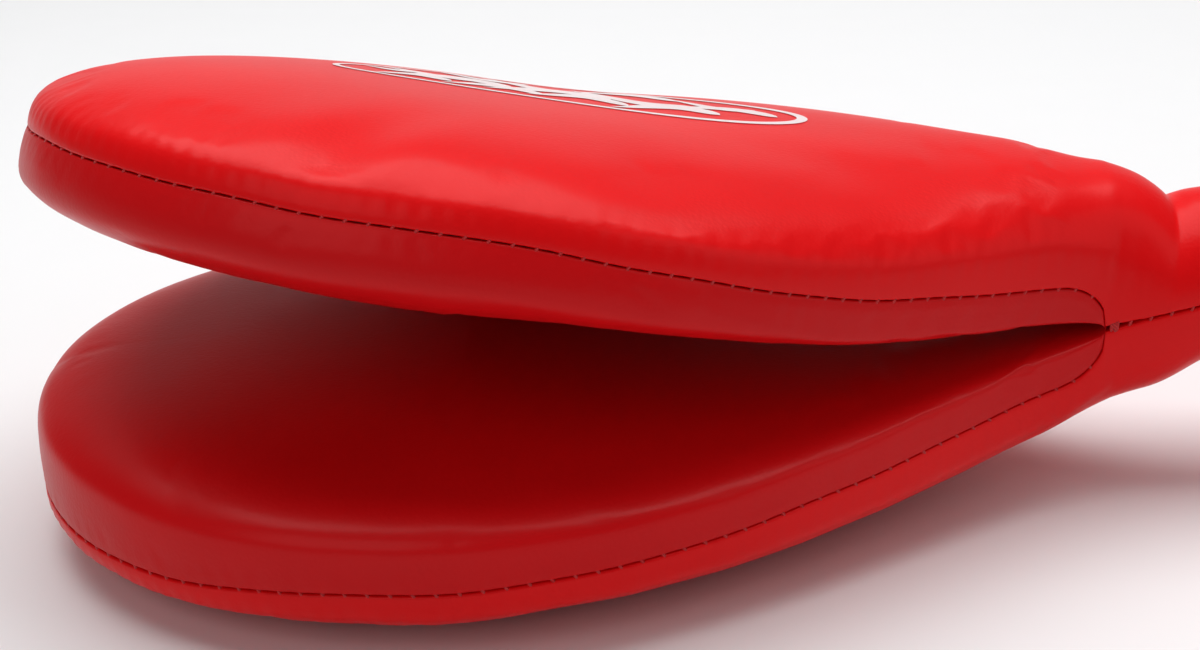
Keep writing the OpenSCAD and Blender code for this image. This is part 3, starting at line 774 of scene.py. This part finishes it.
def seam_marks(leaf, seed):
    """Places and directions of the stitches along a leaf's edge seam."""
    edge_s, edge_y, mid_s, run = leaf.stations(0.4)
    at = np.arange(leaf.size.stitch, run[-1], leaf.size.stitch)
    marks = []
    for side in (-1, 1):
        s = np.interp(at, run, edge_s)
        y = np.interp(at, run, edge_y)
        mid = np.interp(at, run, mid_s)
        out_s, out_y = out_direction(s - mid, y)
        z = leaf.seam_z(np.minimum(s, leaf.size.wide_s)) + leaf.dip(s) + seam_sway(at, seed)
        centre = leaf.place(s - 0.45 * out_s, side * (y - 0.45 * out_y), z)
        below = leaf.place(s - 0.45 * out_s, side * (y - 0.45 * out_y), z - 1)
        ahead = np.gradient(centre, axis=0)
        for c, b, d in zip(centre, below, ahead):
            step = Vector(d).normalized()
            marks.append((c, Vector(b - c) + 0.55 * step, step))
    return marks


class PADDLE_OT_stitches(bpy.types.Operator):
    """Lay the stitches of the edge seams, the grip seams and the crotch"""
    bl_idname = "paddle.stitches"
    bl_label = "Stitches"

    def execute(self, context):
        size = sizes()
        material = thread_material("red_thread", colours().thread)
        for up in (True, False):
            leaf = Leaf(size, up)
            marks = seam_marks(leaf, SEED[up])
            obj = stitches(PREFIX[up] + "_edge_stitches", marks, 2.1, 0.85)
            dress(obj, material)
            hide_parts(PREFIX[up] + "_edge_thread")
            flex(obj)
        leaf = Leaf(size, True)
        for side, name in ((-1, "near"), (1, "far")):
            u = np.arange(6.0, size.handle_l - 3, size.stitch)
            y = side * (leaf.half_w(-u) - 0.35)
            centre = leaf.place(-u, y, 0 * u)
            ahead = np.gradient(centre, axis=0)
            marks = [(c, Vector(d).normalized() * 0.55 + Vector((0, 0, 1)), d)
                     for c, d in zip(centre, ahead)]
            obj = stitches("grip_stitches_" + name, marks, 1.9, 0.8)
            dress(obj, material)
            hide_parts("grip_thread_" + name)
            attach(obj, "handle")
        self.tacks(size, material)
        return {"FINISHED"}

    def tacks(self, size, material):
        marks = []
        for side in (-1, 1):
            for i in range(5):
                along = 1.5 * (i / 4 - 0.5)
                lift = 0.5 * math.sin(2.1 * i)
                centre = (size.crotch_x + 2.2 + along, side * (size.neck_half_w - 0.1),
                          size.crotch_z + 0.6 + 0.25 * lift)
                marks.append((centre, (0.3 * lift, 0.1, 1), (1, 0, 0)))
        obj = stitches("crotch_bar_tacks", marks, 2.7, 0.7)
        dress(obj, material)
        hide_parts("crotch_tacks")
        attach(obj, "handle")


# ---- printed emblem ----

PRINT_C = (128.0, 12.5)
PRINT_HALF = (56.0, 20.5)
FLAMES = [(-50, -2, 26, 4, 3, 4.0), (-45, 5, 22, -4, 4, 3.4), (-36, -8, 26, 6, -4, 5.2),
          (-30, 1, 30, -6, 4, 5.4), (-26, 9, 26, 5, 3, 4.4), (-14, -12, 24, 6, 3, 5.0),
          (-10, -4, 30, 7, -3, 6.2), (-6, 6, 28, -6, 4, 5.4), (6, -13, 24, 5, 4, 4.8),
          (10, 12, 24, -4, 2, 4.4), (14, -5, 30, 6, 3, 6.0), (18, 4, 28, -5, 2, 5.0),
          (28, -10, 18, 4, 4, 4.2), (36, 6, 14, -3, -2, 3.4)]


def ribbon(middle, width):
    """A flat strip along a line of points in the plane."""
    d = np.gradient(middle, axis=0)
    d = d / np.maximum(np.linalg.norm(d, axis=1, keepdims=True), 1e-9)
    side = np.stack([-d[:, 1], d[:, 0]], axis=1) * width[:, None] / 2
    return np.stack([middle - side, middle, middle + side], axis=1)


def emblem_strips():
    a = np.linspace(0, 2 * np.pi, 121)
    ring = np.stack([PRINT_HALF[0] * np.cos(a), PRINT_HALF[1] * np.sin(a)], axis=1)
    strips = [ribbon(ring, 1.7 + 0.9 * np.abs(np.sin(a / 2)))]
    for s, y, long, curl, lean, wide in FLAMES:
        t = np.linspace(0, 1, 26)
        line = np.stack([s + long * t, y + lean * t + curl * np.sin(np.pi * t * 1.35)], axis=1)
        strips.append(ribbon(line, 1.35 * wide * np.sin(np.pi * t ** 0.6) ** 0.9 + 0.15))
    return strips


class PADDLE_OT_emblem(bpy.types.Operator):
    """Print the oval and its tongues of flame on the upper strike face"""
    bl_idname = "paddle.emblem"
    bl_label = "Face print"

    def execute(self, context):
        leaf = Leaf(sizes(), True)
        panel = bpy.data.objects[STRIKE[True]]
        tree = BVHTree.FromObject(panel, bpy.context.evaluated_depsgraph_get())
        verts, faces = [], []
        for strip in emblem_strips():
            s = PRINT_C[0] + strip[..., 0]
            y = PRINT_C[1] + strip[..., 1]
            points = leaf.place(s, y, leaf.strike_z(s, y)) * MM
            first = len(verts)
            for p in points.reshape(-1, 3):
                near, normal, _, _ = tree.find_nearest(Vector(p))
                up = normal if normal.z > 0 else -normal
                verts.append(near + up * 0.00016)
            n = len(strip)
            for i in range(n - 1):
                for j in range(2):
                    a = first + i * 3 + j
                    faces.append((a, a + 3, a + 4, a + 1))
        obj = tidy_mesh(new_object("upper_print_film", verts, faces), leaf_inside(leaf), join=1e-6)
        dress(obj, ink_material("white_ink", colours().ink))
        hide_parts("upper_face_print")
        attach(obj, "upper_leaf")
        return {"FINISHED"}


# ---- butt and wrist loop ----

def on_handle(u, y, z):
    """A point on the handle, u along it from the crotch."""
    size = sizes()
    a = math.radians(size.handle_a)
    return np.stack([size.crotch_x + u * math.cos(a) - z * math.sin(a), y,
                     size.crotch_z + u * math.sin(a) + z * math.cos(a)], axis=-1)


class PADDLE_OT_butt(bpy.types.Operator):
    """Close the butt with its sewn disc"""
    bl_idname = "paddle.butt"
    bl_label = "Butt"

    def execute(self, context):
        size = sizes()
        r_out = float(size.grip_r)
        profile = [(size.handle_l - 3.2, r_out)]
        for deg in (20, 40, 60, 80):
            a = math.radians(deg)
            profile.append((size.handle_l - 3.0 + 2.7 * math.sin(a), r_out - 2.7 * (1 - math.cos(a))))
        profile += [(size.handle_l - 0.25, r_out - 3.2), (size.handle_l - 0.7, r_out - 3.6),
                    (size.handle_l - 0.2, r_out - 4.2), (size.handle_l + 0.25, r_out - 6),
                    (size.handle_l + 0.55, r_out - 10), (size.handle_l + 0.65, r_out - 15),
                    (size.handle_l + 0.65, 0.01)]
        a = np.linspace(0, 2 * np.pi, 97)[:-1]
        rows = []
        for u, r in profile:
            wave = 0.14 * np.cos(a * 28) * bump(r, r_out - 3.6, 1.6)
            rows.append(on_handle(u + wave, r * np.cos(a), r * np.sin(a)))
        inside = Vector(on_handle(np.array(100.0), np.array(0.0), np.array(0.0))) * MM
        obj = sheet("butt_cap", np.array(rows), inside, around=True)
        dress(obj, bpy.data.materials["red_leather"])
        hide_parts("butt_disc")
        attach(obj, "handle")
        marks = []
        for i in range(28):
            t = 2 * math.pi * (i + 0.5) / 28
            r = r_out - 3.6
            centre = on_handle(size.handle_l - 0.25, r * math.cos(t), r * math.sin(t))
            out = on_handle(size.handle_l - 0.25, (r + 1) * math.cos(t), (r + 1) * math.sin(t)) - centre
            marks.append((centre, out, (0.3, math.sin(t), -math.cos(t))))
        ring = stitches("butt_stitches", marks, 2.2, 0.8)
        dress(ring, bpy.data.materials["red_thread"])
        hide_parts("butt_thread")
        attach(ring, "handle")
        return {"FINISHED"}


def strap_section(width, thick, ribs=9, n=46):
    """Outline of flat webbing with rounded edges and woven ribs: across and out."""
    t = np.linspace(0, 2 * np.pi, n + 1)[:-1]
    across = width / 2 * np.sign(np.cos(t)) * np.abs(np.cos(t)) ** 0.5
    out = thick / 2 * np.sign(np.sin(t)) * np.abs(np.sin(t)) ** 0.28
    return across, out * (1 + 0.12 * np.cos(2 * np.pi * ribs * across / width))


def strap(name, path, normals, width, thick):
    """Webbing along a closed or open path in the X-Z plane."""
    across, out = strap_section(width, thick)
    rows = path[:, None, :] + normals[:, None, :] * out[None, :, None]
    rows = rows + across[None, :, None] * np.array([0, 1, 0])
    return sheet(name, rows, around=True)


class PADDLE_OT_wrist_loop(bpy.types.Operator):
    """Weave the wrist loop and its tab"""
    bl_idname = "paddle.wrist_loop"
    bl_label = "Wrist loop"

    def execute(self, context):
        size = sizes()
        webbing = webbing_material("black_webbing", colours().webbing)
        pivot = on_handle(np.array(size.handle_l + size.tab_out + 2 * size.web_t), np.array(0.0),
                          np.array(0.0))
        r = size.loop_r - size.web_t / 2
        lean = math.asin((r - 0.9) / size.loop_drop)
        a = np.radians(np.linspace(180 - math.degrees(lean), 360 + math.degrees(lean), 49))
        bottom = np.stack([r * np.cos(a), -size.loop_drop + r * np.sin(a)], axis=1)
        eye = np.radians(np.linspace(math.degrees(lean), 180 - math.degrees(lean), 15))
        top = np.stack([0.9 * np.cos(eye), 0.9 * np.sin(eye)], axis=1)
        line = np.concatenate([top, bottom, top[:1]])
        line = resample(line, 1.1)
        d = np.gradient(line, axis=0)
        d = d / np.linalg.norm(d, axis=1, keepdims=True)
        path = np.stack([line[:, 0], 0 * line[:, 0], line[:, 1]], axis=1) + pivot
        normals = np.stack([-d[:, 1], 0 * d[:, 0], d[:, 0]], axis=1)
        loop = strap("wrist_strap", path, normals, size.web_w, size.web_t)
        dress(loop, webbing)
        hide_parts("wrist_loop")
        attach(loop, "wrist_loop")

        u = np.linspace(size.handle_l - 6, size.handle_l + size.tab_out, 16)
        thick = np.where(u > size.handle_l + size.tab_out - 0.6, 0.8, 1.0)
        path = on_handle(u, 0 * u, 0 * u)
        a = math.radians(size.handle_a)
        across, out = strap_section(size.web_w, 2 * size.web_t)
        up = np.array([-math.sin(a), 0, math.cos(a)])
        rows = path[:, None, :] + up * (out[None, :, None] * thick[:, None, None])
        rows = rows + across[None, :, None] * np.array([0, 1, 0])
        tab = closed_ends(sheet("strap_tab", rows, around=True))
        dress(tab, webbing)
        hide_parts("loop_tab")
        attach(tab, "handle")
        return {"FINISHED"}


def resample(line, step):
    run = np.concatenate([[0], np.cumsum(np.linalg.norm(np.diff(line, axis=0), axis=1))])
    at = np.linspace(0, run[-1], max(2, round(run[-1] / step)) + 1)
    return np.stack([np.interp(at, run, line[:, i]) for i in range(line.shape[1])], axis=1)


def closed_ends(obj):
    """Fills the open ends of a tube."""
    bm = bmesh.new()
    bm.from_mesh(obj.data)
    bmesh.ops.holes_fill(bm, edges=[e for e in bm.edges if e.is_boundary], sides=0)
    bmesh.ops.recalc_face_normals(bm, faces=bm.faces)
    bm.to_mesh(obj.data)
    bm.free()
    return obj


INSIDES = {
    "dense_foam": ("upper_strike_foam", "lower_strike_foam", "upper_root_foam", "lower_root_foam",
                   "neck_foam", "grip_foam"),
    "soft_foam": ("upper_inner_foam", "lower_inner_foam"),
    "stiffener_plastic": ("upper_stiffener", "lower_stiffener", "handle_core", "upper_tongue",
                          "lower_tongue", "butt_plug"),
    "rivet_steel": ("core_rivets",),
    "red_thread": ("loop_tack",),
}


class PADDLE_OT_insides(bpy.types.Operator):
    """Give the padding, stiffeners, core, rivets and tack their materials"""
    bl_idname = "paddle.insides"
    bl_label = "Insides"

    def execute(self, context):
        made = {
            "dense_foam": foam_material("dense_foam", (0.06, 0.06, 0.065)),
            "soft_foam": foam_material("soft_foam", (0.72, 0.71, 0.67)),
            "stiffener_plastic": plain_material("stiffener_plastic", (0.03, 0.03, 0.034), 0.45),
            "rivet_steel": plain_material("rivet_steel", (0.62, 0.62, 0.62), 0.35, 1.0),
            "red_thread": bpy.data.materials["red_thread"],
        }
        for slot, nodes in INSIDES.items():
            for node in nodes:
                obj = bpy.data.objects[node]
                for i in range(len(obj.material_slots)):
                    obj.material_slots[i].material = made[slot]
        return {"FINISHED"}


# ---- stage ----

CAMERA = (56.2, -514.9, 248.5)
TARGET = (34.2, 0.0, 40.0)
CAMERA_UP = (0.0310, 0.3762, 0.9260)
LENS = 69.8


def area_light(name, place, target, size, power, colour=(1, 1, 1)):
    data = bpy.data.lights.new(name, "AREA")
    data.shape = "RECTANGLE"
    data.size, data.size_y = size
    data.energy = power
    data.color = colour
    obj = bpy.data.objects.new(name, data)
    obj.location = place
    aim = Vector(target) - Vector(place)
    obj.rotation_euler = aim.to_track_quat("-Z", "Y").to_euler()
    bpy.context.scene.collection.objects.link(obj)
    return obj


class PADDLE_OT_stage(bpy.types.Operator):
    """Add the floor, the soft lights and the camera"""
    bl_idname = "paddle.stage"
    bl_label = "Stage"

    def execute(self, context):
        scene = context.scene
        floor = self.floor()
        lights = [
            area_light("overhead_softbox", (0.05, 0.25, 1.15), (0.02, 0, 0.05), (1.5, 1.1), 18.5),
            area_light("front_softbox", (-0.55, -1.0, 0.75), (0, 0, 0.04), (0.9, 0.9), 3.0),
            area_light("right_softbox", (1.1, -0.35, 0.6), (0.05, 0, 0.05), (0.6, 0.9), 1.5),
        ]
        world = bpy.data.worlds.new("studio")
        world.use_nodes = True
        world.node_tree.nodes["Background"].inputs["Color"].default_value = (0.95, 0.955, 0.97, 1)
        world.node_tree.nodes["Background"].inputs["Strength"].default_value = 0.13
        scene.world = world

        data = bpy.data.cameras.new("camera")
        data.lens = LENS
        data.sensor_width = 36
        data.clip_start = 0.01
        camera = bpy.data.objects.new("camera", data)
        back = (Vector(CAMERA) - Vector(TARGET)).normalized()
        up = Vector(CAMERA_UP)
        up = (up - back * up.dot(back)).normalized()
        right = up.cross(back)
        turn = Matrix((right, up, back)).transposed().to_4x4()
        camera.matrix_world = Matrix.Translation(Vector(CAMERA) * MM) @ turn
        scene.collection.objects.link(camera)
        scene.camera = camera
        scene.view_settings.view_transform = "Standard"
        return {"FINISHED"}

    def floor(self):
        half, back, high, bend = 2.2, 1.6, 1.8, 0.6
        profile = [(-2.5, 0.0), (back - bend, 0.0)]
        for deg in range(10, 91, 10):
            a = math.radians(deg)
            profile.append((back - bend + bend * math.sin(a), bend * (1 - math.cos(a))))
        profile.append((back, high))
        rows = np.array([[(x * 1000, y * 1000, z * 1000 - 0.05) for x in (-half, half)]
                         for y, z in profile])
        obj = sheet("floor", rows, Vector((0, 0, -5)))
        material, shader, shade, place = principled("floor_paper", colours().floor, 0.55)
        faint = noise(shade, place, 40.0)
        low = tuple(0.985 * c for c in colours().floor)
        put(shade, shader, "Base Color", tint(shade, faint, low, tuple(colours().floor)))
        dress(obj, material)
        return obj


class PADDLE_PT_panel(bpy.types.Panel):
    """Buttons for each piece of the paddle"""
    bl_idname = "PADDLE_PT_panel"
    bl_label = "Kick paddle"
    bl_space_type = "VIEW_3D"
    bl_region_type = "UI"
    bl_category = "Kick paddle"

    def draw(self, context):
        for operator in OPERATORS:
            self.layout.operator(operator.bl_idname)
        for group in (context.scene.paddle_sizes, context.scene.paddle_colours):
            for key in group.__annotations__:
                self.layout.prop(group, key)


OPERATORS = (PADDLE_OT_strike_panels, PADDLE_OT_inner_panels, PADDLE_OT_stitches, PADDLE_OT_emblem,
             PADDLE_OT_butt, PADDLE_OT_wrist_loop, PADDLE_OT_insides, PADDLE_OT_stage)
CLASSES = (PaddleSizes, PaddleColours, *OPERATORS, PADDLE_PT_panel)


def register():
    for cls in CLASSES:
        bpy.utils.register_class(cls)
    bpy.types.Scene.paddle_sizes = PointerProperty(type=PaddleSizes)
    bpy.types.Scene.paddle_colours = PointerProperty(type=PaddleColours)


def unregister():
    del bpy.types.Scene.paddle_colours
    del bpy.types.Scene.paddle_sizes
    for cls in reversed(CLASSES):
        bpy.utils.unregister_class(cls)


def main():
    register()
    bpy.ops.paddle.strike_panels()
    bpy.ops.paddle.inner_panels()
    bpy.ops.paddle.stitches()
    bpy.ops.paddle.emblem()
    bpy.ops.paddle.butt()
    bpy.ops.paddle.wrist_loop()
    bpy.ops.paddle.insides()
    bpy.ops.paddle.stage()


if __name__ == "__main__":
    main()
